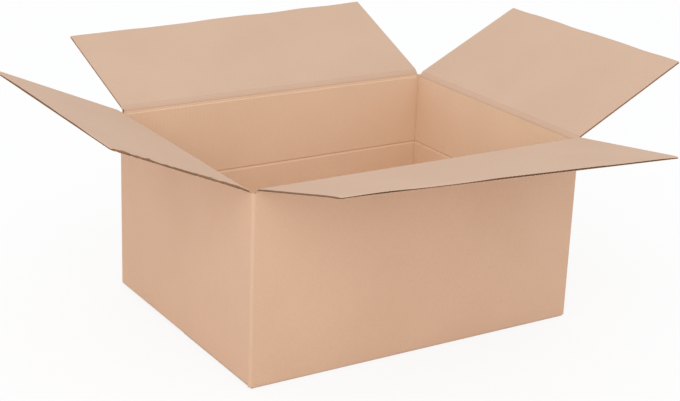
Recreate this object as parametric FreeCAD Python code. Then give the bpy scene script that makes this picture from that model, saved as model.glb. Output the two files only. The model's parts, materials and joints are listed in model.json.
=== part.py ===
import FreeCAD, Part
import math
import os

# Open shipping carton of single-wall corrugated board: a regular slotted case that stands on its
# closed bottom, with the four top flaps folded outwards.
# Millimetres, +Z up. X runs along the long walls, and the front wall is at low Y.
# The origin is the centre of the underside.

# Carton, over the outside
LENGTH = 550.0
WIDTH = 420.0
HEIGHT = 285.0

# Corrugated board
BOARD = 3.0
LINER = 0.35
MEDIUM = 0.3
FLUTE_PITCH = 6.3
FLUTE_CREST = 0.55
FLUTE_MARGIN = 1.2

# Folds and slots
FOLD_INNER = 1.5
SLOT_CLEARANCE = 0.5
CREASE_GAP = 0.3
CRUSHED_ROOT = 7.0
FLAP_CLEARANCE = 0.5
SEAM_GAP = 1.5

# Glued joint at the back left corner
JOINT_GAP = 1.0
TAB_REACH = 38.0
TAB_TAPER = 9.0
TAB_CLEARANCE = 1.5

# Score pressed into the inside of the walls, for a lower fill
SCORE_HEIGHT = 164.0
SCORE_WIDTH = 3.4
SCORE_DEPTH = 0.9

# Angle of each open top flap above level, in degrees
FRONT_ANGLE = 11.5
BACK_ANGLE = 20.5
LEFT_ANGLE = 23.5
RIGHT_ANGLE = 27.0

# Worked out from the values above
FOLD_OUTER = FOLD_INNER + BOARD
SLOT_HALF = FOLD_OUTER + SLOT_CLEARANCE
HALF_LENGTH = LENGTH / 2
HALF_WIDTH = WIDTH / 2
SHORT_CREASE = HEIGHT - BOARD - FLAP_CLEARANCE
LONG_REACH = HALF_WIDTH - SEAM_GAP / 2
SHORT_REACH = LONG_REACH + HEIGHT - SHORT_CREASE
FOLD_TOP = BOARD + FOLD_OUTER
OVERCUT = 5.0

UP = FreeCAD.Vector(0, 0, 1)
CENTRE = FreeCAD.Vector(0, 0, 0)


def vec(x, y, z=0.0):
    return FreeCAD.Vector(x, y, z)


def box(low, high):
    return Part.makeBox(high.x - low.x, high.y - low.y, high.z - low.z, low)


def prism(points, sweep):
    """A flat outline, given by its corners, swept along a vector."""
    return Part.Face(Part.makePolygon(points + points[:1])).extrude(sweep)


def turned(shape, degrees):
    """A copy turned about the carton's upright middle line."""
    copy = shape.copy()
    copy.rotate(CENTRE, UP, degrees)
    return copy


def straight_run(start, end):
    """The edge from start to end, or none where a bend begins or ends right there."""
    if start.isEqual(end, 1e-6):
        return []
    return [Part.LineSegment(start, end).toShape()]


def bent_path(points, radius):
    """Straight runs through the points, with an arc of the radius at each inner point."""
    edges = []
    start = points[0]
    for before, corner, after in zip(points, points[1:], points[2:]):
        back = (before - corner).normalize()
        ahead = (after - corner).normalize()
        arc_start = corner + back * radius
        arc_end = corner + ahead * radius
        middle = corner + (back + ahead) * radius * (1 - math.sqrt(0.5))
        edges += straight_run(start, arc_start)
        edges.append(Part.Arc(arc_start, middle, arc_end).toShape())
        start = arc_end
    return edges + straight_run(start, points[-1])


def bent_board(outside, inside):
    """Face of a bent board, from the corners of its outer and of its inner outline."""
    start_cap = Part.LineSegment(outside[0], inside[0]).toShape()
    end_cap = Part.LineSegment(outside[-1], inside[-1]).toShape()
    edges = bent_path(outside, FOLD_OUTER) + [end_cap]
    edges += bent_path(inside, FOLD_INNER) + [start_cap]
    return Part.Face(Part.Wire(Part.sortEdges(edges)[0]))


def wall_section():
    """The four walls from above, one strip with its two ends at the back left corner."""
    left, right = -HALF_LENGTH, HALF_LENGTH
    front, back = -HALF_WIDTH, HALF_WIDTH
    fold_end = back - FOLD_OUTER
    wall_end = fold_end - JOINT_GAP
    outside = [
        vec(left, wall_end),
        vec(left, front),
        vec(right, front),
        vec(right, back),
        vec(left + BOARD, back),
        vec(left + BOARD, fold_end),
    ]
    inside = [
        vec(left + BOARD, wall_end),
        vec(left + BOARD, front + BOARD),
        vec(right - BOARD, front + BOARD),
        vec(right - BOARD, back - BOARD),
        vec(left + 2 * BOARD, back - BOARD),
        vec(left + 2 * BOARD, fold_end),
    ]
    return bent_board(outside, inside)


def wall_slice(low, high):
    section = wall_section()
    section.translate(vec(0, 0, low))
    return section.extrude(vec(0, 0, high - low))


def corner_boxes(low, high):
    """The square of each slot, at the four upright corners."""
    x_in, x_out = HALF_LENGTH - SLOT_HALF, HALF_LENGTH + OVERCUT
    y_in, y_out = HALF_WIDTH - SLOT_HALF, HALF_WIDTH + OVERCUT
    corner = box(vec(x_in, y_in, low), vec(x_out, y_out, high))
    right = corner.fuse(corner.mirror(CENTRE, vec(0, 1, 0)))
    return right.fuse(right.mirror(CENTRE, vec(1, 0, 0)))


def glue_tab():
    """The end of the back wall, folded forward and glued to the inside of the left wall."""
    x = -HALF_LENGTH + BOARD
    fold_end = HALF_WIDTH - FOLD_OUTER
    tip = HALF_WIDTH - TAB_REACH
    low = 2 * BOARD + TAB_CLEARANCE
    high = SHORT_CREASE - BOARD - TAB_CLEARANCE
    outline = [
        vec(x, fold_end, low),
        vec(x, fold_end, high),
        vec(x, tip, high - TAB_TAPER),
        vec(x, tip, low + TAB_TAPER),
    ]
    return prism(outline, vec(BOARD, 0, 0))


def bottom_flap(half_depth, half_span, base, reach):
    """A bottom flap with its fold, on the right side: it turns in under the wall at half_depth."""
    edge = half_depth - reach
    outside = [vec(half_depth, 0, FOLD_TOP), vec(half_depth, 0, base), vec(edge, 0, base)]
    inner_face = half_depth - BOARD
    top = base + BOARD
    inside = [vec(inner_face, 0, FOLD_TOP), vec(inner_face, 0, top), vec(edge, 0, top)]
    section = bent_board(outside, inside)
    section.translate(vec(0, -half_span, 0))
    return section.extrude(vec(0, 2 * half_span, 0))


def mitre_cut(half_depth, half_span, crease):
    """Cuts the right wall to its crease, sloped inwards so that the closed flap meets it."""
    slope_end = BOARD + OVERCUT
    outline = [
        vec(half_depth + OVERCUT, -half_span, crease),
        vec(half_depth, -half_span, crease),
        vec(half_depth - slope_end, -half_span, crease - slope_end),
        vec(half_depth - slope_end, -half_span, HEIGHT + OVERCUT),
        vec(half_depth + OVERCUT, -half_span, HEIGHT + OVERCUT),
    ]
    return prism(outline, vec(0, 2 * half_span, 0))


def score_groove(inner_face, half_span):
    """A V groove along the inside of the right wall."""
    half = SCORE_WIDTH / 2
    outline = [
        vec(inner_face, -half_span, SCORE_HEIGHT - half),
        vec(inner_face + SCORE_DEPTH, -half_span, SCORE_HEIGHT),
        vec(inner_face, -half_span, SCORE_HEIGHT + half),
        vec(inner_face - OVERCUT, -half_span, SCORE_HEIGHT),
    ]
    return prism(outline, vec(0, 2 * half_span, 0))


def carton():
    long_span = HALF_LENGTH - SLOT_HALF
    short_span = HALF_WIDTH - SLOT_HALF
    body = wall_slice(FOLD_TOP, HEIGHT)
    posts = wall_slice(BOARD, FOLD_TOP).common(corner_boxes(0, HEIGHT))
    short_flap = bottom_flap(HALF_LENGTH, short_span, BOARD, SHORT_REACH)
    long_flap = bottom_flap(HALF_WIDTH, long_span, 0, LONG_REACH)
    body = body.fuse([
        posts,
        glue_tab(),
        short_flap,
        turned(short_flap, 180),
        turned(long_flap, 90),
        turned(long_flap, -90),
    ])
    short_cut = mitre_cut(HALF_LENGTH, short_span, SHORT_CREASE)
    long_cut = mitre_cut(HALF_WIDTH, long_span, HEIGHT)
    long_groove = score_groove(HALF_WIDTH - BOARD, HALF_LENGTH - FOLD_TOP)
    short_groove = score_groove(HALF_LENGTH - BOARD, HALF_WIDTH - FOLD_TOP)
    left_groove = turned(short_groove, 180).cut(
        box(vec(-LENGTH, HALF_WIDTH - TAB_REACH, 0), vec(0, WIDTH, HEIGHT))
    )
    body = body.cut([
        corner_boxes(SHORT_CREASE, HEIGHT + OVERCUT),
        short_cut,
        turned(short_cut, 180),
        turned(long_cut, 90),
        turned(long_cut, -90),
        turned(long_groove, 90),
        turned(long_groove, -90),
        short_groove,
        left_groove,
    ])
    return body.removeSplitter()


def flute_void(across, wide_side, narrow_side):
    """One hollow of the corrugation, as its corners across the flap and through the board."""
    web_slope = FLUTE_PITCH / 2 - 2 * FLUTE_CREST
    web_height = BOARD - 2 * LINER - MEDIUM
    web_across = MEDIUM * math.hypot(web_slope, web_height) / web_height
    wide = FLUTE_PITCH / 2 - FLUTE_CREST - web_across / 2
    corners = [
        vec(0, across - wide, wide_side),
        vec(0, across + wide, wide_side),
        vec(0, across + FLUTE_CREST, narrow_side),
        vec(0, across - FLUTE_CREST, narrow_side),
    ]
    return Part.makePolygon(corners + corners[:1])


def flap(half_span, reach):
    """A top flap laid level: its crease along Y at X 0, its outer face down at Z 0."""
    outline = [
        vec(0, -half_span, 0),
        vec(0, half_span, 0),
        vec(0, half_span, BOARD),
        vec(0, -half_span, BOARD),
    ]
    wires = [Part.makePolygon(outline + outline[:1])]
    half_pitch = FLUTE_PITCH / 2
    rows = int((half_span - FLUTE_MARGIN - half_pitch) / half_pitch)
    for row in range(-rows, rows + 1):
        if row % 2:
            wires.append(flute_void(row * half_pitch, BOARD - LINER, LINER + MEDIUM))
        else:
            wires.append(flute_void(row * half_pitch, LINER, BOARD - LINER - MEDIUM))
    fluted = Part.makeFace(wires, "Part::FaceMakerBullseye")
    fluted.translate(vec(CRUSHED_ROOT, 0, 0))
    fluted = fluted.extrude(vec(reach - CRUSHED_ROOT, 0, 0))
    root = prism([
        vec(CREASE_GAP, -half_span, 0),
        vec(CRUSHED_ROOT, -half_span, 0),
        vec(CRUSHED_ROOT, -half_span, BOARD),
        vec(CREASE_GAP + BOARD, -half_span, BOARD),
    ], vec(0, 2 * half_span, 0))
    return fluted.fuse(root).removeSplitter()


def raised(flap_shape, half_depth, crease, angle, side):
    """A level flap raised to its angle at its crease. Side is its turn from the right wall."""
    shape = flap_shape.copy()
    shape.rotate(CENTRE, vec(0, 1, 0), -angle)
    shape.translate(vec(half_depth, 0, crease))
    return turned(shape, side)


def main():
    os.makedirs("parts", exist_ok=True)
    long_flap = flap(HALF_LENGTH - SLOT_HALF, LONG_REACH)
    short_flap = flap(HALF_WIDTH - SLOT_HALF, SHORT_REACH)
    parts = {
        "carton": carton(),
        "front_flap": raised(long_flap, HALF_WIDTH, HEIGHT, FRONT_ANGLE, -90),
        "back_flap": raised(long_flap, HALF_WIDTH, HEIGHT, BACK_ANGLE, 90),
        "left_flap": raised(short_flap, HALF_LENGTH, SHORT_CREASE, LEFT_ANGLE, 180),
        "right_flap": raised(short_flap, HALF_LENGTH, SHORT_CREASE, RIGHT_ANGLE, 0),
    }
    for name, shape in parts.items():
        shape.exportStep(os.path.join("parts", name + ".step"))
        print(name, "solids", len(shape.Solids), "valid", shape.isValid(), "mm3", round(shape.Volume))


main()
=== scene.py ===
# %% [markdown]
# # An open shipping carton
# The object is one sheet of corrugated board, slotted, creased and folded into a box. Its bottom is
# closed and its four top flaps stand open. Everything is in metres. The origin is in the middle of
# the underside, X runs along the long walls, and the front wall is at low Y.

import bmesh
import bpy
import json
import math
from mathutils import Matrix, Vector, noise


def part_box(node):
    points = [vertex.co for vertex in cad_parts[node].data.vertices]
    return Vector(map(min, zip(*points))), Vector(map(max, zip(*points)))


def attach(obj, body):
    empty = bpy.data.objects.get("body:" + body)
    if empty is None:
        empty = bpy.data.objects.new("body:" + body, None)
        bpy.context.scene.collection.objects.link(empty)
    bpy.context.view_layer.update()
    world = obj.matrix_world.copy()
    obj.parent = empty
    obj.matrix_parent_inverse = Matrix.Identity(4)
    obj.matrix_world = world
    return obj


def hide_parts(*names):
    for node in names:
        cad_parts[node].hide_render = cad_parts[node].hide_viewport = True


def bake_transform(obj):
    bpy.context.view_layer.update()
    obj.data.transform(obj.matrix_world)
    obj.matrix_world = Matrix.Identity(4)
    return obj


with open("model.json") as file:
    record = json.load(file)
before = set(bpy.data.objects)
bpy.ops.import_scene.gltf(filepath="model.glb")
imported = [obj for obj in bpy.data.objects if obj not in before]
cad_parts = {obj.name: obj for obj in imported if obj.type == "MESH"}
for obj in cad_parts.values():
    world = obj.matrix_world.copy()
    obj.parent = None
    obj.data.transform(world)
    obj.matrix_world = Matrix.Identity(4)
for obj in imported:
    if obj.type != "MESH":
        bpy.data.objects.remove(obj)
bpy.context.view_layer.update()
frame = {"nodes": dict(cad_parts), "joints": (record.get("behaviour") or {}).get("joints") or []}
print("nodes:", sorted(frame["nodes"]))

# %% [markdown]
# Every size that the scene shares with the CAD model is read from the frame: the carton's box and the
# hinge at each crease. The short creases lie one board lower than the long ones, so that the long
# flaps can close over the short ones.

# %% Sizes read from the frame
MM = 0.001
carton_low, carton_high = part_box("carton")
LENGTH = carton_high.x - carton_low.x
WIDTH = carton_high.y - carton_low.y
HEIGHT = carton_high.z
HALF_LENGTH = LENGTH / 2
HALF_WIDTH = WIDTH / 2
HINGES = {joint["child"]: joint for joint in frame["joints"]}
SHORT_CREASE = HINGES["left_flap"]["pos_m"][2]
print("carton", round(LENGTH, 4), round(WIDTH, 4), round(HEIGHT, 4), "short crease", SHORT_CREASE)

# %% [markdown]
# ## Camera
# The camera comes first, so that each piece can be judged in the photograph's own view. Its place
# was found from the carton's corners. It stands in front and to the left, 2.4 metres from the
# carton's middle, and looks down by 19 degrees through a long lens.

# %% Camera
CAMERA_PLACE = Vector((-1.2023, -1.8760, 0.9460))
CAMERA_YAW = math.radians(32.5)
CAMERA_PITCH = math.radians(19.35)
CAMERA_ROLL = math.radians(2.17)
CAMERA_LENS = 82.37
SENSOR_WIDTH = 36
NEAREST = 0.05
FARTHEST = 50


def add_camera():
    data = bpy.data.cameras.new("camera")
    camera = bpy.data.objects.new("camera", data)
    bpy.context.scene.collection.objects.link(camera)
    data.sensor_width = SENSOR_WIDTH
    data.lens = CAMERA_LENS
    data.clip_start = NEAREST
    data.clip_end = FARTHEST
    ahead = Vector((
        math.sin(CAMERA_YAW) * math.cos(CAMERA_PITCH),
        math.cos(CAMERA_YAW) * math.cos(CAMERA_PITCH),
        -math.sin(CAMERA_PITCH),
    ))
    level_right = Vector((math.cos(CAMERA_YAW), -math.sin(CAMERA_YAW), 0))
    level_up = level_right.cross(ahead)
    right = level_right * math.cos(CAMERA_ROLL) + level_up * math.sin(CAMERA_ROLL)
    up = right.cross(ahead)
    camera.matrix_world = Matrix((
        (right.x, up.x, -ahead.x, CAMERA_PLACE.x),
        (right.y, up.y, -ahead.y, CAMERA_PLACE.y),
        (right.z, up.z, -ahead.z, CAMERA_PLACE.z),
        (0, 0, 0, 1),
    ))
    bpy.context.scene.camera = camera


add_camera()
print("camera at", tuple(round(value, 3) for value in CAMERA_PLACE))

# %% [markdown]
# ## Studio
# The photograph is a cut-out on white, lit softly from all round. The floor is a large plain sheet
# that looks white to the camera and still keeps a faint shadow, because a part of its colour is
# light of its own, seen by the camera alone.

# %% Floor
FLOOR_SIZE = 12
FLOOR_DROP = 0.2 * MM
FLOOR_GREY = 0.9
FLOOR_WHITE_SHARE = 0.85


def floor_material():
    material = bpy.data.materials.new("studio_floor")
    material.use_nodes = True
    tree = material.node_tree
    tree.nodes.clear()
    output = tree.nodes.new("ShaderNodeOutputMaterial")
    mix = tree.nodes.new("ShaderNodeMixShader")
    plain = tree.nodes.new("ShaderNodeBsdfDiffuse")
    glow = tree.nodes.new("ShaderNodeEmission")
    path = tree.nodes.new("ShaderNodeLightPath")
    share = tree.nodes.new("ShaderNodeMath")
    share.operation = "MULTIPLY"
    share.inputs[1].default_value = FLOOR_WHITE_SHARE
    plain.inputs["Color"].default_value = (FLOOR_GREY, FLOOR_GREY, FLOOR_GREY, 1)
    tree.links.new(path.outputs["Is Camera Ray"], share.inputs[0])
    tree.links.new(share.outputs[0], mix.inputs[0])
    tree.links.new(plain.outputs[0], mix.inputs[1])
    tree.links.new(glow.outputs[0], mix.inputs[2])
    tree.links.new(mix.outputs[0], output.inputs[0])
    return material


def add_floor():
    bpy.ops.mesh.primitive_plane_add(size=FLOOR_SIZE, location=(0, 0, -FLOOR_DROP))
    floor = bpy.context.object
    floor.name = "studio_floor"
    floor.data.materials.append(floor_material())


add_floor()
print("floor", FLOOR_SIZE, "m wide")

# %% [markdown]
# The world is two backgrounds in one. The pieces are lit by a faintly cool one, like light from a
# white room, and the camera sees a plain white one, so the background stays white from every side.

# %% World
WORLD_STRENGTH = 1.0
WORLD_COLOUR = (0.97, 0.98, 1.0, 1)


def add_world():
    world = bpy.data.worlds.new("studio")
    bpy.context.scene.world = world
    world.use_nodes = True
    tree = world.node_tree
    tree.nodes.clear()
    output = tree.nodes.new("ShaderNodeOutputWorld")
    mix = tree.nodes.new("ShaderNodeMixShader")
    soft = tree.nodes.new("ShaderNodeBackground")
    white = tree.nodes.new("ShaderNodeBackground")
    path = tree.nodes.new("ShaderNodeLightPath")
    soft.inputs["Color"].default_value = WORLD_COLOUR
    white.inputs["Color"].default_value = (1, 1, 1, 1)
    soft.inputs["Strength"].default_value = WORLD_STRENGTH
    tree.links.new(path.outputs["Is Camera Ray"], mix.inputs[0])
    tree.links.new(soft.outputs[0], mix.inputs[1])
    tree.links.new(white.outputs[0], mix.inputs[2])
    tree.links.new(mix.outputs[0], output.inputs[0])


add_world()
print("world strength", WORLD_STRENGTH)

# %% [markdown]
# One large soft lamp gives the rest. It stands behind the camera and well above it, so that it
# reaches the front and left walls and, over the rim, the back and right walls inside. This keeps the
# walls, the inside and the flaps close in tone, as in the photograph.

# %% Lamp
LAMP_PLACE = (-2.2, -2.3, 2.1)
LAMP_TARGET = (0, 0, 0.2)
LAMP_SIZE = 2.6
LAMP_POWER = 38


def add_lamp(name, place, target, size, power):
    data = bpy.data.lights.new(name, "AREA")
    data.shape = "SQUARE"
    data.size = size
    data.energy = power
    lamp = bpy.data.objects.new(name, data)
    bpy.context.scene.collection.objects.link(lamp)
    lamp.location = place
    lamp.rotation_mode = "QUATERNION"
    lamp.rotation_quaternion = (Vector(target) - Vector(place)).to_track_quat("-Z", "Y")


add_lamp("key", LAMP_PLACE, LAMP_TARGET, LAMP_SIZE, LAMP_POWER)
bpy.context.scene.view_settings.view_transform = "Standard"
print("lamp", LAMP_POWER, "W")

# %% [markdown]
# ## Modelling helpers
# Each piece is made as by hand: a flat primitive, edges pulled out of it, cuts, bevels and a
# thickness. An operator acts on whatever is selected, so these helpers first clear the selection
# and then pick vertices, edges or faces by their place.

# %% Helpers
TOUCH = 0.02 * MM


def select_only(piece):
    if bpy.context.mode != "OBJECT":
        bpy.ops.object.mode_set(mode="OBJECT")
    bpy.ops.object.select_all(action="DESELECT")
    piece.select_set(True)
    bpy.context.view_layer.objects.active = piece


def settle(piece):
    """Writes the object's place, turn and scale into its mesh."""
    select_only(piece)
    bpy.ops.object.transform_apply(location=True, rotation=True, scale=True)


def edit(piece):
    select_only(piece)
    bpy.ops.object.mode_set(mode="EDIT")


def near(value, target):
    return abs(value - target) < TOUCH


def pick(piece, kind, test):
    """Selects the vertices, or the edges or faces whose corners and middle pass, and counts them."""
    bpy.ops.mesh.select_mode(type=kind)
    bpy.ops.mesh.select_all(action="DESELECT")
    mesh = bmesh.from_edit_mesh(piece.data)
    found = 0
    if kind == "VERT":
        for vertex in mesh.verts:
            if test(vertex.co):
                vertex.select_set(True)
                found += 1
    else:
        for part in mesh.edges if kind == "EDGE" else mesh.faces:
            corners = [vertex.co for vertex in part.verts]
            middle = sum(corners, Vector()) / len(corners)
            if all(test(corner) for corner in corners) and test(middle):
                part.select_set(True)
                found += 1
    bmesh.update_edit_mesh(piece.data)
    return found


def pull(x, y, z):
    """Extrudes what is selected by a distance."""
    bpy.ops.mesh.extrude_region_move(TRANSFORM_OT_translate={"value": (x, y, z)})


def move(x, y, z):
    bpy.ops.transform.translate(value=(x, y, z))


def cut(point, normal, **options):
    """Cuts the whole mesh along a plane."""
    bpy.ops.mesh.select_all(action="SELECT")
    bpy.ops.mesh.bisect(plane_co=point, plane_no=normal, **options)


def cut_faces(piece, test, point, normal):
    """Cuts only the faces that pass the test."""
    pick(piece, "FACE", test)
    bpy.ops.mesh.bisect(plane_co=point, plane_no=normal)


def apply_modifier(piece, kind, **settings):
    select_only(piece)
    modifier = piece.modifiers.new(kind.lower(), kind)
    for name, value in settings.items():
        setattr(modifier, name, value)
    bpy.ops.object.modifier_apply(modifier=modifier.name)


def smooth_step(value, low, high):
    share = min(max((value - low) / (high - low), 0), 1)
    return share * share * (3 - 2 * share)


print("points closer than", TOUCH, "m count as one place")

# %% [markdown]
# ## Board
# The board is single-wall: two flat liners with a wavy sheet, the medium, glued between them. The
# waves are 6.3 mm apart and run up the walls and out along the flaps, across every crease.

# %% Sizes of the board
BOARD = 3 * MM
LINER = 0.35 * MM
MEDIUM = 0.3 * MM
FLUTE_PITCH = 6.3 * MM
FOLD_OUTER = 4.5 * MM
SLOT_HALF = 5 * MM
SEAM_GAP = 1.5 * MM
LONG_SPAN = HALF_LENGTH - SLOT_HALF
SHORT_SPAN = HALF_WIDTH - SLOT_HALF
LONG_REACH = HALF_WIDTH - SEAM_GAP / 2
SHORT_REACH = LONG_REACH + HEIGHT - SHORT_CREASE
print("long flap", round(2 * LONG_SPAN, 4), "by", round(LONG_REACH, 4))

# %% [markdown]
# ## Finishes
# Kraft paper is brown, matt and slightly cloudy. Close up it shows short fibres and a few darker
# flecks. The waves under a liner print through as a faint washboard. All of this comes from noise
# and a sine along the board, read from Object coordinates, so the pattern stays on the board.

# %% Node helpers
BUMP_DISTANCE = 1.0


def new_material(name):
    material = bpy.data.materials.new(name)
    material.use_nodes = True
    tree = material.node_tree
    return material, tree, tree.nodes["Principled BSDF"]


def add_node(tree, kind, settings=None, **inputs):
    """Adds a node. An input given as another node's output is linked, and any other is a value."""
    made = tree.nodes.new(kind)
    for key, value in (settings or {}).items():
        setattr(made, key, value)
    for key, value in inputs.items():
        socket = made.inputs[int(key[1:])] if key[0] == "i" and key[1:].isdigit() else made.inputs[key]
        if isinstance(value, bpy.types.NodeSocket):
            tree.links.new(value, socket)
        else:
            socket.default_value = value
    return made.outputs


def maths(tree, operation, first, second=0.0):
    return add_node(tree, "ShaderNodeMath", {"operation": operation}, i0=first, i1=second)[0]


def noise_value(tree, place, scale, detail=3.0, roughness=0.5):
    inputs = {"Vector": place, "Scale": scale, "Detail": detail, "Roughness": roughness}
    return add_node(tree, "ShaderNodeTexNoise", **inputs)[0]


def between(tree, value, low, high):
    """Maps a value from a range to 0 and 1."""
    settings = {"interpolation_type": "SMOOTHSTEP"}
    return add_node(tree, "ShaderNodeMapRange", settings, i0=value, i1=low, i2=high)[0]


def blend_colour(tree, share, first, second):
    """Mixes two colours. The colour sockets of a Mix node are 6 and 7, and its colour comes out at 2."""
    made = tree.nodes.new("ShaderNodeMix")
    made.data_type = "RGBA"
    for socket, value in ((made.inputs[0], share), (made.inputs[6], first), (made.inputs[7], second)):
        if isinstance(value, bpy.types.NodeSocket):
            tree.links.new(value, socket)
        else:
            socket.default_value = value if isinstance(value, float) else (*value, 1)
    return made.outputs[2]


def add_bump(tree, height, shader):
    bump = add_node(tree, "ShaderNodeBump", Strength=1.0, Distance=BUMP_DISTANCE, Height=height)
    tree.links.new(bump[0], shader.inputs["Normal"])


print("node helpers ready")

# %% [markdown]
# A liner is built in layers, from large to small: soft clouds, fine fibres, rare dark flecks, and the
# washboard, which is stronger where the rollers pressed harder. The same fibres drive the roughness
# and the bump, so that shine and colour agree.

# %% Kraft liner
CLOUD_SCALE = 8.0
FIBRE_SCALE = 420.0
FLECK_SCALE = 260.0
PRESS_SCALE = 34.0
PALE_SHARE = 1.015
DEEP_SHARES = (0.985, 0.975, 0.965)
DARK_SHARES = (0.62, 0.55, 0.5)
CLOUD_RANGE = (0.3, 0.7)
PRESS_RANGE = (0.3, 0.75)
FIBRE_RANGE = (0.35, 0.8)
FLECK_RANGE = (0.72, 0.80)
FIBRE_SHARE = 0.16
FLECK_SHARE = 0.12
RIDGE_SHARE = 0.05
FIBRE_RISE = 0.05 * MM
LINER_ROUGHNESS = 0.74
FIBRE_ROUGHNESS = 0.14
LINER_SHINE = 0.25


def kraft_liner(name, colour, axis, washboard_rise):
    """The liner over waves that follow each other along an axis, 0 for X and 1 for Y."""
    material, tree, shader = new_material(name)
    place = add_node(tree, "ShaderNodeTexCoord")["Object"]
    along = add_node(tree, "ShaderNodeSeparateXYZ", None, i0=place)[axis]
    wave = maths(tree, "SINE", maths(tree, "MULTIPLY", along, math.tau / FLUTE_PITCH))
    cloud = noise_value(tree, place, CLOUD_SCALE)
    press = noise_value(tree, place, PRESS_SCALE, detail=2.0)
    fibre = noise_value(tree, place, FIBRE_SCALE, detail=6.0, roughness=0.7)
    fleck = between(tree, noise_value(tree, place, FLECK_SCALE, detail=1.0), *FLECK_RANGE)
    pale = tuple(value * PALE_SHARE for value in colour)
    deep = tuple(value * share for value, share in zip(colour, DEEP_SHARES))
    dark = tuple(value * share for value, share in zip(colour, DARK_SHARES))
    shade = blend_colour(tree, between(tree, cloud, *CLOUD_RANGE), deep, pale)
    fibres = maths(tree, "MULTIPLY", between(tree, fibre, *FIBRE_RANGE), FIBRE_SHARE)
    shade = blend_colour(tree, fibres, shade, dark)
    shade = blend_colour(tree, maths(tree, "MULTIPLY", fleck, FLECK_SHARE), shade, dark)
    ridge = maths(tree, "MULTIPLY", maths(tree, "MULTIPLY", wave, press), RIDGE_SHARE)
    shade = blend_colour(tree, maths(tree, "ABSOLUTE", ridge), shade, deep)
    tree.links.new(shade, shader.inputs["Base Color"])
    matt = maths(tree, "MULTIPLY_ADD", fibre, FIBRE_ROUGHNESS)
    matt.node.inputs[2].default_value = LINER_ROUGHNESS
    tree.links.new(matt, shader.inputs["Roughness"])
    shader.inputs["Specular IOR Level"].default_value = LINER_SHINE
    pressed_wave = maths(tree, "MULTIPLY", wave, between(tree, press, *PRESS_RANGE))
    washboard = maths(tree, "MULTIPLY", pressed_wave, washboard_rise)
    height = maths(tree, "MULTIPLY_ADD", fibre, FIBRE_RISE)
    tree.links.new(washboard, height.node.inputs[2])
    add_bump(tree, height, shader)
    return material


# %% [markdown]
# The carton shows three liners: the outside, the upper side of the flaps, and the inside of the box.
# The upper side of the flaps is the inside paper, painted greyer as a painted sheen of the white room
# at a grazing angle. The inside is made paler, because less light reaches it and the photograph shows
# it as bright as the outside. Each liner comes in two copies, because the waves follow each other
# along X on the long walls and along Y on the short ones. The washboard is plain inside and faint
# elsewhere.

# %% Liner colours
FAINT = 0.012 * MM
PLAIN = 0.045 * MM
OUTER_COLOUR = (0.648, 0.427, 0.294)
# The flaps' upper liner is painted greyer than the inside paper: a painted sheen.
INNER_SHEEN_COLOUR = (0.616, 0.428, 0.311)
INSIDE_COLOUR = (0.790, 0.574, 0.408)


def liner_pair(name, colour, washboard_rise):
    return [kraft_liner(name + "_" + "xy"[axis], colour, axis, washboard_rise) for axis in (0, 1)]


OUTER = liner_pair("kraft_outer", OUTER_COLOUR, FAINT)
INNER_WITH_SHEEN = liner_pair("kraft_inner_painted_sheen", INNER_SHEEN_COLOUR, FAINT)
INSIDE = liner_pair("kraft_inside", INSIDE_COLOUR, PLAIN)
print("liners", [material.name for material in OUTER + INNER_WITH_SHEEN + INSIDE])

# %% [markdown]
# The medium is a thinner and darker paper. Where the board is cut, its fibres are torn, and the
# cut edge is painted darker still: painted shade for the hollows, into which little light reaches.

# %% Medium and cut edge
MEDIUM_COLOUR = (0.44, 0.265, 0.155)
MEDIUM_DARK = (0.29, 0.165, 0.095)
CUT_SHADE_COLOUR = (0.36, 0.215, 0.125)
CUT_SHADE_DARK = (0.22, 0.120, 0.065)
TORN_SCALE = 700.0
PATCH_SCALE = 45.0
TORN_RANGE = (0.35, 0.7)
PATCH_RANGE = (0.55, 0.8)
TORN_RISE = 0.15 * MM
RAW_ROUGHNESS = 0.92
RAW_SHINE = 0.15


def raw_paper(name, colour, dark):
    material, tree, shader = new_material(name)
    place = add_node(tree, "ShaderNodeTexCoord")["Object"]
    torn = noise_value(tree, place, TORN_SCALE, detail=5.0, roughness=0.7)
    patch = noise_value(tree, place, PATCH_SCALE)
    shade = blend_colour(tree, between(tree, torn, *TORN_RANGE), dark, colour)
    shade = blend_colour(tree, between(tree, patch, *PATCH_RANGE), shade, dark)
    tree.links.new(shade, shader.inputs["Base Color"])
    shader.inputs["Roughness"].default_value = RAW_ROUGHNESS
    shader.inputs["Specular IOR Level"].default_value = RAW_SHINE
    add_bump(tree, maths(tree, "MULTIPLY", torn, TORN_RISE), shader)
    return material


MEDIUM_PAPER = raw_paper("fluting_medium", MEDIUM_COLOUR, MEDIUM_DARK)
# The walls' cut edges are solid faces, so their dark colour is partly painted shade of the hollows.
CUT_EDGE_WITH_SHADE = raw_paper("cut_edge_painted_shade", CUT_SHADE_COLOUR, CUT_SHADE_DARK)
print("raw papers", MEDIUM_PAPER.name, CUT_EDGE_WITH_SHADE.name)

# %% [markdown]
# ## Carton
# The walls are one long sheet, folded round. A plane is added as the outer face of the front wall,
# and its ends are pulled round the box until the glue tab lies inside the left wall. Beveling the
# upright edges gives the rounded folds. Working on the outer face alone keeps the sheet simple. Its
# thickness comes at the end.

# %% Wall sheet
TAB_REACH = 38 * MM
JOINT_GAP = 1 * MM
TAB_X = BOARD - HALF_LENGTH
TAB_END = HALF_WIDTH - TAB_REACH

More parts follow.
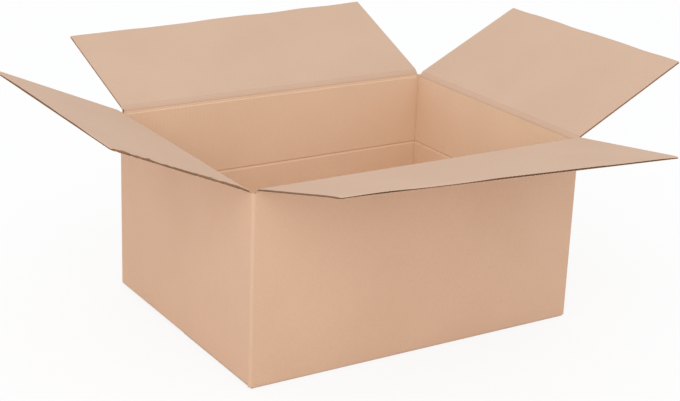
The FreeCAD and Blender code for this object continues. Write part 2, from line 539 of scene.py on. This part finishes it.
bpy.ops.object.select_all(action="DESELECT")
bpy.ops.mesh.primitive_plane_add(
    size=1, location=(0, -HALF_WIDTH, HEIGHT / 2), rotation=(math.radians(90), 0, 0)
)
carton = bpy.context.object
carton.name = "carton_board"
carton.scale = (LENGTH, HEIGHT, 1)
settle(carton)
edit(carton)
pick(carton, "EDGE", lambda p: near(p.x, HALF_LENGTH))
pull(0, WIDTH, 0)
pull(TAB_X - HALF_LENGTH, 0, 0)
pull(0, -TAB_REACH, 0)
pick(carton, "EDGE", lambda p: near(p.x, -HALF_LENGTH))
pull(0, WIDTH - FOLD_OUTER - JOINT_GAP, 0)
print("sheet edges", len(bmesh.from_edit_mesh(carton.data).edges))

# %% [markdown]
# Board folds in a tight curve that is never sharp. Every edge between two panels of the sheet is an
# upright fold, so all edges with a face on both sides are selected and beveled together.

# %% Upright folds
FOLD_SEGMENTS = 6

bpy.ops.mesh.select_mode(type="EDGE")
bpy.ops.mesh.select_all(action="DESELECT")
sheet = bmesh.from_edit_mesh(carton.data)
folds = [edge for edge in sheet.edges if len(edge.link_faces) == 2]
for fold in folds:
    fold.select_set(True)
bmesh.update_edit_mesh(carton.data)
bpy.ops.mesh.bevel(offset=FOLD_OUTER, segments=FOLD_SEGMENTS, affect="EDGES")
print("upright folds", len(folds))

# %% [markdown]
# At each corner the sheet is slotted above and below, so that the flaps come free. Cuts through the
# sheet mark the slots, and the pieces between them are deleted. The short walls are creased a board's
# thickness lower than the long ones at the top and higher at the bottom, so that flaps can overlap.

# %% Cuts for the slots
POST_PLAY = 0.5 * MM
POST_TOP = BOARD + FOLD_OUTER + POST_PLAY
TAB_CLEARANCE = 1.5 * MM
TAB_TOP = SHORT_CREASE - BOARD - TAB_CLEARANCE

for side in (-1, 1):
    cut((side * LONG_SPAN, 0, 0), (1, 0, 0))
    cut((0, side * SHORT_SPAN, 0), (0, 1, 0))
for level in (POST_TOP, TAB_TOP, SHORT_CREASE):
    cut((0, 0, level), (0, 0, 1))
print("sheet faces", len(bmesh.from_edit_mesh(carton.data).faces))


# %% Slots and creases
def past_slot(p):
    return abs(p.x) > LONG_SPAN - TOUCH


def in_corner(p):
    return past_slot(p) and abs(p.y) > SHORT_SPAN - TOUCH


def on_tab(p):
    return near(p.x, TAB_X) and TAB_END - TOUCH < p.y < SHORT_SPAN + TOUCH


def delete_faces(test):
    found = pick(carton, "FACE", test)
    bpy.ops.mesh.delete(type="FACE")
    print("deleted", found, "faces")


delete_faces(lambda p: past_slot(p) and p.z > SHORT_CREASE - TOUCH)
delete_faces(lambda p: in_corner(p) and p.z < POST_TOP + TOUCH)
delete_faces(lambda p: on_tab(p) and p.z < POST_TOP + TOUCH)
delete_faces(lambda p: on_tab(p) and p.z > TAB_TOP - TOUCH)
pick(carton, "VERT", lambda p: near(abs(p.x), HALF_LENGTH) and near(p.z, 0))
move(0, 0, BOARD)
print("post edges", pick(carton, "EDGE", lambda p: in_corner(p) and near(p.z, POST_TOP)))
pull(0, 0, BOARD - POST_TOP)

# %% [markdown]
# The glue tab narrows towards its free side, as a tab does so that it never shows past the wall that
# it is glued to. Its two free corners are moved towards each other.

# %% Glue tab
TAB_TAPER = 9 * MM

for level, rise in ((TAB_TOP, -TAB_TAPER), (POST_TOP, TAB_TAPER)):
    moved = pick(carton, "VERT", lambda p: near(p.y, TAB_END) and near(p.x, TAB_X) and near(p.z, level))
    move(0, 0, rise)
    print("tab corners moved", moved)


# %% [markdown]
# The bottom closes with four flaps like those on top. The lower edge of each wall is pulled inwards:
# the long flaps meet in the middle underneath, and the short ones lie one board above them. Each
# crease is then rounded with the same bevel as the upright folds.

# %% Bottom flaps
def on_long_crease(p, side):
    return near(p.z, 0) and near(p.y, side * HALF_WIDTH)


def on_short_crease(p, side):
    return near(p.z, BOARD) and near(p.x, side * HALF_LENGTH) and abs(p.y) < SHORT_SPAN + TOUCH


for side in (-1, 1):
    pick(carton, "EDGE", lambda p: on_long_crease(p, side))
    pull(0, -side * LONG_REACH, 0)
    pick(carton, "EDGE", lambda p: on_short_crease(p, side))
    pull(-side * SHORT_REACH, 0, 0)
for side in (-1, 1):
    for on_crease in (on_long_crease, on_short_crease):
        pick(carton, "EDGE", lambda p: on_crease(p, side))
        bpy.ops.mesh.bevel(offset=FOLD_OUTER, segments=FOLD_SEGMENTS, affect="EDGES")
bpy.ops.object.mode_set(mode="OBJECT")
print("faces after the bottom", len(carton.data.polygons))

# %% [markdown]
# Evenly spaced cuts give the panels enough faces to bow a little later. The cuts above and below the
# score give it its groove, and those below the top creases give the crushed rim its slope.

# %% Cuts across the panels
SCORE_HEIGHT = 164 * MM
SCORE_TOP = 1.8 * MM
SCORE_FOOT = 3 * MM
CRUSH_DEPTH = 7 * MM
PANEL_STEPS = 10

edit(carton)
for level in (-2 * SCORE_FOOT, -SCORE_FOOT, 0, SCORE_TOP, SCORE_FOOT):
    cut((0, 0, SCORE_HEIGHT + level), (0, 0, 1))
cut_faces(carton, past_slot, (0, 0, SHORT_CREASE - CRUSH_DEPTH), (0, 0, 1))
cut_faces(carton, lambda p: abs(p.x) < LONG_SPAN + TOUCH, (0, 0, HEIGHT - CRUSH_DEPTH), (0, 0, 1))
for step in range(1, PANEL_STEPS):
    share = step / PANEL_STEPS
    cut((LONG_SPAN * (2 * share - 1), 0, 0), (1, 0, 0))
    cut((0, SHORT_SPAN * (2 * share - 1), 0), (0, 1, 0))
    if abs(share * HEIGHT - SCORE_HEIGHT) > 3 * SCORE_FOOT:
        cut((0, 0, share * HEIGHT), (0, 0, 1))
bpy.ops.object.mode_set(mode="OBJECT")
print("sheet faces", len(carton.data.polygons))

# %% [markdown]
# The sheet now gets the board's thickness on its inside, by a Solidify modifier. Its offset keeps the
# outer face where it is, and its material offsets give the inner face and the cut edges papers of
# their own. The tops of the corner posts stay in the outside colour.

# %% Thickness
UPWARD = 0.9

front = [face for face in carton.data.polygons if near(face.center.y, -HALF_WIDTH)]
print("front faces look out:", all(face.normal.y < 0 for face in front))
# The rim faces take the cut edge paper, whose dark colour is partly painted shade.
for material in (OUTER[0], INSIDE[0], CUT_EDGE_WITH_SHADE, OUTER[1], INSIDE[1], CUT_EDGE_WITH_SHADE):
    carton.data.materials.append(material)
for face in carton.data.polygons:
    short_side = abs(face.center.x) > LONG_SPAN or near(face.center.z, BOARD)
    face.material_index = 3 if short_side else 0
apply_modifier(
    carton, "SOLIDIFY", thickness=BOARD, offset=-1, use_even_offset=True, material_offset=1,
    material_offset_rim=2,
)
for face in carton.data.polygons:
    if face.normal.z > UPWARD and in_corner(face.center) and near(face.center.z, SHORT_CREASE):
        face.material_index = 0
print("carton faces", len(carton.data.polygons))

# %% [markdown]
# The score is a line pressed into the inside of the blank, for folding the box down to a lower fill.
# It drops steeply from above and rises less steeply below, so it shows as a dark line over a light
# band. The same press crushes the board along the top creases, so each wall slopes out to its crease.

# %% Score and crushed rim
SCORE_DEPTH = 1.8 * MM
CRUSHED_RIM = 1.3 * MM
RIM_MIDDLE = 0.66
OUTWARD = {"front": (0, -1), "back": (0, 1), "right": (1, 0), "left": (-1, 0)}


def clear_of_tab(p):
    return p.y < TAB_END - BOARD or p.z > TAB_TOP + TOUCH


ON_WALL = {
    "front": lambda p: near(p.y, BOARD - HALF_WIDTH) and abs(p.x) < LONG_SPAN + TOUCH,
    "back": lambda p: near(p.y, HALF_WIDTH - BOARD) and abs(p.x) < LONG_SPAN + TOUCH,
    "right": lambda p: near(p.x, HALF_LENGTH - BOARD) and abs(p.y) < SHORT_SPAN + TOUCH,
    "left": lambda p: (
        near(p.x, BOARD - HALF_LENGTH) and abs(p.y) < SHORT_SPAN + TOUCH and clear_of_tab(p)
    ),
}

edit(carton)
for wall, (x, y) in OUTWARD.items():
    count = pick(carton, "VERT", lambda p: ON_WALL[wall](p) and near(p.z, SCORE_HEIGHT))
    move(x * SCORE_DEPTH, y * SCORE_DEPTH, 0)
    crease = HEIGHT if x == 0 else SHORT_CREASE
    pick(carton, "VERT", lambda p: ON_WALL[wall](p) and crease - CRUSH_DEPTH < p.z < crease - TOUCH)
    move(x * CRUSHED_RIM * RIM_MIDDLE, y * CRUSHED_RIM * RIM_MIDDLE, 0)
    rim = pick(carton, "VERT", lambda p: ON_WALL[wall](p) and near(p.z, crease))
    move(x * CRUSHED_RIM, y * CRUSHED_RIM, CRUSHED_RIM - BOARD)
    print(wall, "score vertices", count, "rim vertices", rim)
bpy.ops.object.mode_set(mode="OBJECT")

# %% [markdown]
# No panel of a carton is quite flat. Each wall bows by about a millimetre between its folds, and not
# evenly. The vertices are moved in code, because the bow must fade out at every fold.

# %% Bowed walls
WALL_BOW = {"front": 1.1 * MM, "back": -0.9 * MM, "right": 0.8 * MM, "left": 0.9 * MM}
UNEVEN = 0.5 * MM
UNEVEN_ALONG = 7
UNEVEN_UP = 9
WALL_SKIN = 1.5 * BOARD


def bow_walls(piece):
    most = 0
    for vertex in piece.data.vertices:
        p = vertex.co
        for wall, (x, y) in OUTWARD.items():
            depth = p.x * x + p.y * y - (HALF_LENGTH if x else HALF_WIDTH)
            along = p.y / SHORT_SPAN if x else p.x / LONG_SPAN
            if depth < -WALL_SKIN or abs(along) > 1:
                continue
            rise = math.sin(math.pi * min(max(p.z / SHORT_CREASE, 0), 1)) * (1 - along * along)
            place = Vector((p.x * UNEVEN_ALONG, p.y * UNEVEN_ALONG, p.z * UNEVEN_UP))
            uneven = noise.noise(place) * UNEVEN
            shift = (WALL_BOW[wall] + uneven) * rise
            vertex.co += Vector((x, y, 0)) * shift
            most = max(most, abs(shift))
    return most


print("most bow", round(bow_walls(carton), 5))

# %% [markdown]
# Before the blank is folded, a blunt wheel presses a line into its inside where each upright fold
# will be. Folded, the line stays as a shallow groove down each inside corner, which shows as a thin
# dark line. Each inside vertex of a fold is moved outwards, most in the middle of the fold.

# %% Pressed corners
CORNER_GROOVE = 1.4 * MM
GROOVE_START = 0.1 * MM
GROOVE_PLAY = 0.2 * MM


def press_corners(piece):
    """Presses a groove into the inside of the upright folds, all but the one that the tab covers."""
    inside = FOLD_OUTER - BOARD
    pressed = 0
    for vertex in piece.data.vertices:
        p = vertex.co
        x, y = abs(p.x) - HALF_LENGTH + FOLD_OUTER, abs(p.y) - HALF_WIDTH + FOLD_OUTER
        if min(x, y) < GROOVE_START or math.hypot(x, y) > inside + GROOVE_PLAY or (p.x < 0 < p.y):
            continue
        turn = math.atan2(y, x)
        deep = CORNER_GROOVE * math.sin(2 * turn)
        p.x += math.copysign(deep * math.cos(turn), p.x)
        p.y += math.copysign(deep * math.sin(turn), p.y)
        pressed += 1
    return pressed


print("corner vertices", press_corners(carton))

# %% [markdown]
# The folds are shaded as round and the cut edges as sharp, by the angle between their faces. The
# sheet then takes the place of the CAD node, rides on it, and carries its board.

# %% Finish the carton
CARTON_SMOOTH = 25


def shade_round(piece, degrees):
    """Shades every edge that bends by less than an angle as part of a curve."""
    select_only(piece)
    bpy.ops.object.shade_smooth_by_angle(angle=math.radians(degrees))


shade_round(carton, CARTON_SMOOTH)
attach(carton, "carton")
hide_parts("carton")
print(carton.name, "vertices", len(carton.data.vertices))

# %% [markdown]
# ## Flaps
# Each top flap is a real piece of corrugated board, because its cut edges show the waves. One wave of
# the medium is shaped from a grid and an Array modifier repeats it. The liners are two thin grids.
# The flap is made level with its crease along Y, then twisted, raised and turned to its wall.

# %% Medium of a flap
CREASE_GAP = 0.3 * MM
WAVE_STEPS = 8
MEDIUM_ROWS = 14


def grid_piece(name, low, high, height, rows, columns):
    """A level grid between two corners."""
    bpy.ops.object.select_all(action="DESELECT")
    middle = ((low[0] + high[0]) / 2, (low[1] + high[1]) / 2, height)
    bpy.ops.mesh.primitive_grid_add(x_subdivisions=rows, y_subdivisions=columns, size=1, location=middle)
    piece = bpy.context.object
    piece.name = name
    piece.scale = (high[0] - low[0], high[1] - low[1], 1)
    settle(piece)
    return piece


def wave_count(half_span):
    return math.ceil(2 * half_span / FLUTE_PITCH) + 1


def medium_sheet(half_span, reach):
    waves = wave_count(half_span)
    half_wave = FLUTE_PITCH / 2
    low, high = (CREASE_GAP, -half_wave), (reach, half_wave)
    sheet = grid_piece("medium", low, high, BOARD / 2, MEDIUM_ROWS, WAVE_STEPS)
    rise = (BOARD - 2 * LINER - MEDIUM) / 2
    for vertex in sheet.data.vertices:
        vertex.co.z += rise * math.cos(math.tau * vertex.co.y / FLUTE_PITCH)
    apply_modifier(
        sheet, "ARRAY", count=waves, use_relative_offset=False, use_constant_offset=True,
        constant_offset_displace=(0, FLUTE_PITCH, 0), use_merge_vertices=True, merge_threshold=TOUCH,
    )
    sheet.location.y = -(waves - 1) * half_wave
    settle(sheet)
    edit(sheet)
    cut((0, half_span, 0), (0, 1, 0), clear_outer=True)
    cut((0, -half_span, 0), (0, 1, 0), clear_inner=True)
    bpy.ops.object.mode_set(mode="OBJECT")
    return sheet


print("waves along a long flap", wave_count(LONG_SPAN), "short flap", wave_count(SHORT_SPAN))

# %% [markdown]
# The three sheets of a flap are cut alike and joined into one piece. A knocked corner is rounded off
# with three cuts. Close cuts along the crease and along both sides give those places the faces that
# they need to be crushed and frayed.

# %% Sheets of a flap
CRUSHED_ROOT = 6 * MM
ROOT_STEPS = 6
FRAYED = 4 * MM
LINER_ROWS = 56
LINER_COLUMNS = 36
CORNER_CUTS = (22.5, 45, 67.5)


def blunt_corner(sheet, half_span, reach, side, radius):
    """Rounds off a free corner of a flap."""
    edit(sheet)
    for turn in CORNER_CUTS:
        way = Vector((math.cos(math.radians(turn)), side * math.sin(math.radians(turn)), 0))
        middle = Vector((reach - radius, side * (half_span - radius), 0))
        cut(middle + way * radius, way, clear_outer=True)
    bpy.ops.object.mode_set(mode="OBJECT")


def flap_sheets(name, half_span, reach, axis, side, radius):
    low, high = (CREASE_GAP, -half_span), (reach, half_span)
    outer = grid_piece(name, low, high, LINER, LINER_ROWS, LINER_COLUMNS)
    inner = grid_piece("inner_liner", low, high, BOARD, LINER_ROWS, LINER_COLUMNS)
    medium = medium_sheet(half_span, reach)
    # The inner liner takes the flaps' colour, which carries a painted sheen.
    for sheet, material in ((outer, OUTER[axis]), (inner, INNER_WITH_SHEEN[axis]), (medium, MEDIUM_PAPER)):
        sheet.data.materials.append(material)
        blunt_corner(sheet, half_span, reach, side, radius)
        edit(sheet)
        for step in range(1, ROOT_STEPS + 1):
            cut((CREASE_GAP + step * (CRUSHED_ROOT - CREASE_GAP) / ROOT_STEPS, 0, 0), (1, 0, 0))
        for end in (-1, 1):
            cut((0, end * (half_span - FRAYED), 0), (0, 1, 0))
        bpy.ops.object.mode_set(mode="OBJECT")
        thickness, offset = (MEDIUM, 0) if sheet == medium else (LINER, -1)
        apply_modifier(sheet, "SOLIDIFY", thickness=thickness, offset=offset)
    select_only(outer)
    inner.select_set(True)
    medium.select_set(True)
    bpy.ops.object.join()
    return outer


print("cuts at a crushed root", ROOT_STEPS)

# %% [markdown]
# Cardboard is never as neat as drawn. Two corners are blunt from handling, and one of them hangs a
# little. The near side of the left flap was cut badly and has frayed. The knife that cut the blank
# pressed the free edges thin in places. These are moves of single vertices that fade out smoothly,
# which no modifier gives so simply.

# %% Wear of a flap
DROOP_WIDTH = 34 * MM
LIFT_GRAIN = 30
TORN_GRAIN = 190
LAYER_GRAIN = 900
LIFT_SEED = (3.1, 0.4)
TORN_SEED = 7.7
LIFT_MEAN = 0.2
FRAY_MEAN = 0.5
FRAY_IN = 0.8
FRAY_UP = 0.5
PRESSED_EDGE = 0.5
PRESSED_GRAIN = 13
PRESSED_BAND = 0.35
PRESSED_SEED = 1.3
EDGE_SEED = 237.2


def droop_corner(flap, half_span, reach, side, drop):
    """Bends a knocked corner down."""
    for vertex in flap.data.vertices:
        away = math.hypot(vertex.co.x - reach, vertex.co.y - side * half_span)
        vertex.co.z -= drop * (1 - smooth_step(away, 0, DROOP_WIDTH))


def fray_side(flap, half_span, side, spread):
    """Spreads the layers along a badly cut side, and makes its edge uneven."""
    for vertex in flap.data.vertices:
        p = vertex.co
        share = smooth_step(p.y * side, half_span - FRAYED, half_span)
        share *= smooth_step(p.x, CRUSHED_ROOT, 2 * CRUSHED_ROOT)
        lift = max(noise.noise(Vector((p.x * LIFT_GRAIN, *LIFT_SEED))) + LIFT_MEAN, 0)
        torn = noise.noise(Vector((p.x * TORN_GRAIN, p.z * LAYER_GRAIN, TORN_SEED)))
        p.y -= side * share * (FRAY_MEAN + torn) * spread * FRAY_IN
        p.z += share * (lift * p.z / BOARD + FRAY_UP * max(torn, 0)) * spread


def press_edge(flap, reach, seed):
    """Thins the free edge unevenly, as the slotting knife does."""
    for vertex in flap.data.vertices:
        p = vertex.co
        share = smooth_step(p.x, reach - FRAYED, reach)
        pressure = noise.noise(Vector((p.y * PRESSED_GRAIN, seed, PRESSED_SEED)))
        p.z *= 1 - PRESSED_EDGE * share * smooth_step(pressure, -PRESSED_BAND, PRESSED_BAND)


print("free edges pressed by up to", PRESSED_EDGE, "of the board")

# %% [markdown]
# Along its crease the flap's board is crushed too, to under half its thickness, so that it can fold
# flat on the wall. Its end is pressed to a slope of 45 degrees, which leaves the wall's rim free.

# %% Crushed root of a flap
ROOT_SHARE = 0.45


def crushed(x, z):
    """The place of a point of the board, pressed thin towards its crease with a 45 degree end."""
    rise = smooth_step(x, CREASE_GAP, CRUSHED_ROOT)
    z *= ROOT_SHARE + (1 - ROOT_SHARE) * rise
    return x + z * (1 - rise), z


def crush_root(flap):
    for vertex in flap.data.vertices:
        vertex.co.x, vertex.co.z = crushed(vertex.co.x, vertex.co.z)


print("board at its crease", round(ROOT_SHARE * BOARD, 5), "m thick")

# %% [markdown]
# The flaps come in two sizes, a long pair and a short pair. The short ones are cut a hair narrower
# than their walls, so that they pass the corner posts as they close. Each flap stands open at its own
# angle, which is what its hinge's closing range leaves of half a turn.

# %% Sizes and places of the flaps
SIDE_PLAY = 0.3 * MM
# Half of the crease, reach, middle of the crease, turn from the right wall, twist each way.
FLAPS = {
    "front_flap": (LONG_SPAN, LONG_REACH, (0, -HALF_WIDTH, HEIGHT), -90, 3.3),
    "back_flap": (LONG_SPAN, LONG_REACH, (0, HALF_WIDTH, HEIGHT), 90, 1.8),
    "left_flap": (SHORT_SPAN - SIDE_PLAY, SHORT_REACH, (-HALF_LENGTH, 0, SHORT_CREASE), 180, 0.1),
    "right_flap": (SHORT_SPAN - SIDE_PLAY, SHORT_REACH, (HALF_LENGTH, 0, SHORT_CREASE), 0, 0.1),
}
# A knocked corner: the end of the crease it is nearest, its radius and its droop, then the fraying.
WEAR = {
    "front_flap": (-1, 4 * MM, 0.8 * MM, 0.4 * MM),
    "back_flap": (1, 1 * MM, 0, 0.2 * MM),
    "left_flap": (1, 7 * MM, 0, 2.2 * MM),
    "right_flap": (-1, 1 * MM, 0, 0.2 * MM),
}
ANGLE = {node: 180 - HINGES[node]["range_deg"][1] for node in FLAPS}
print("raised by", ANGLE)

# %% [markdown]
# Each open flap twists a little in its own way, as the photograph shows. A flap twisted by less than
# LEVEL_TWIST rides on its node. A more twisted one only has its place written into its mesh and
# doesn't follow its node.

# %% Turn the flaps to their walls
LEVEL_TWIST = 1


def wave_axis(place):
    """The axis along which a flap's waves follow each other, 0 for X and 1 for Y."""
    return 0 if place[0] == 0 else 1


def to_wall(piece, place, side):
    """Turns a piece made for the right wall to its own wall, and moves its crease there."""
    piece.rotation_euler = (0, 0, math.radians(side))
    piece.location = place
    settle(piece)


def turn_with(flap, node, twist):
    """Makes a flap twisted by less than LEVEL_TWIST follow its node. A more twisted flap only has its
    place written into its mesh and follows no node.
    """
    if twist < LEVEL_TWIST:
        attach(flap, node)
        return
    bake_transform(flap)


print("twisted enough to be blended:", [node for node in FLAPS if FLAPS[node][4] >= LEVEL_TWIST])

# %% [markdown]
# Every flap is now made in the same order: its sheets are cut and joined, its root is crushed, its
# corner, side and edge are worn, and then it is twisted, raised and turned to its wall. While it lies
# level, each of these steps needs only its own X, Y and Z.

# %% Make the flaps
FLAP_SMOOTH = 35

for node, (half_span, reach, place, side, twist) in FLAPS.items():
    end, radius, drop, spread = WEAR[node]
    flap = flap_sheets(node + "_board", half_span, reach, wave_axis(place), end, radius)
    crush_root(flap)
    droop_corner(flap, half_span, reach, end, drop)
    fray_side(flap, half_span, end, spread)
    press_edge(flap, reach, EDGE_SEED + side)
    both_ways = math.radians(2 * twist)
    apply_modifier(flap, "SIMPLE_DEFORM", deform_method="TWIST", deform_axis="Y", angle=both_ways)
    flap.rotation_euler = (0, math.radians(-ANGLE[node]), 0)
    settle(flap)
    to_wall(flap, place, side)
    shade_round(flap, FLAP_SMOOTH)
    turn_with(flap, node, twist)
    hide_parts(node)
    top = max(vertex.co.z for vertex in flap.data.vertices)
    print(flap.name, "highest", round(top, 4), "faces", len(flap.data.polygons))

# %% [markdown]
# ## Creases
# At a crease the board is crushed to about a third, and the liner runs on from the wall to the flap.
# This strip is that crushed band. It is one plane, pulled over the fold, rounded and given a
# thickness. It is shaped for the flap's open angle and fixed in place, so it doesn't follow the flap.

# %% Crease strips
CRUSH_SLOPE = CRUSHED_RIM / (CRUSH_DEPTH + CRUSHED_RIM - BOARD)
STRIP_START = 3.2 * MM
STRIP_FOLD = 1.5 * MM
STRIP_END = 3 * MM
STRIP_PROUD = 0.08 * MM
STRIP_ROUND = 0.9 * MM
STRIP_SEGMENTS = 5
STRIP_THICK = 0.85 * MM
STRIP_PARTS = 5
STRIP_SMOOTH = 40


def wall_place(depth):
    """A point just proud of the wall's inside, at a depth below its crease."""
    return Vector(((CRUSH_DEPTH - depth) * CRUSH_SLOPE - BOARD - STRIP_PROUD, 0, -depth))


def flap_place(opened, reach):
    x, z = crushed(reach, BOARD)
    return opened @ Vector((x, 0, z + STRIP_PROUD))


def crease_strip(node, half_span, place, side, axis):
    opened = Matrix.Rotation(math.radians(-ANGLE[node]), 3, "Y")
    start, fold = wall_place(STRIP_START), wall_place(STRIP_FOLD)
    root, end = flap_place(opened, CREASE_GAP), flap_place(opened, STRIP_END)
    bpy.ops.object.select_all(action="DESELECT")
    middle = (start + fold) / 2
    tilt = math.atan2(fold.z - start.z, fold.x - start.x)
    bpy.ops.mesh.primitive_plane_add(size=1, location=middle, rotation=(0, -tilt, 0))
    strip = bpy.context.object
    strip.name = node + "_crease"
    strip.scale = ((fold - start).length, 2 * half_span, 1)
    settle(strip)
    edit(strip)
    pick(strip, "EDGE", lambda p: (p - fold).xz.length < TOUCH)
    pull(root.x - fold.x, 0, root.z - fold.z)
    pull(end.x - root.x, 0, end.z - root.z)
    for bend in (fold, root):
        pick(strip, "EDGE", lambda p: (p - bend).xz.length < TOUCH)
        bpy.ops.mesh.bevel(offset=STRIP_ROUND, segments=STRIP_SEGMENTS, affect="EDGES")
    for step in range(1 - STRIP_PARTS, STRIP_PARTS):
        cut((0, step * half_span / STRIP_PARTS, 0), (0, 1, 0))
    bpy.ops.object.mode_set(mode="OBJECT")
    # The strip takes the flaps' liner colour, which carries a painted sheen.
    strip.data.materials.append(INNER_WITH_SHEEN[axis])
    apply_modifier(strip, "SOLIDIFY", thickness=STRIP_THICK, offset=-1, use_even_offset=True)
    shade_round(strip, STRIP_SMOOTH)
    to_wall(strip, place, side)
    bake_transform(strip)
    return strip


for node, (half_span, _, place, side, _) in FLAPS.items():
    strip = crease_strip(node, half_span, place, side, wave_axis(place))
    print(strip.name, "faces", len(strip.data.polygons))
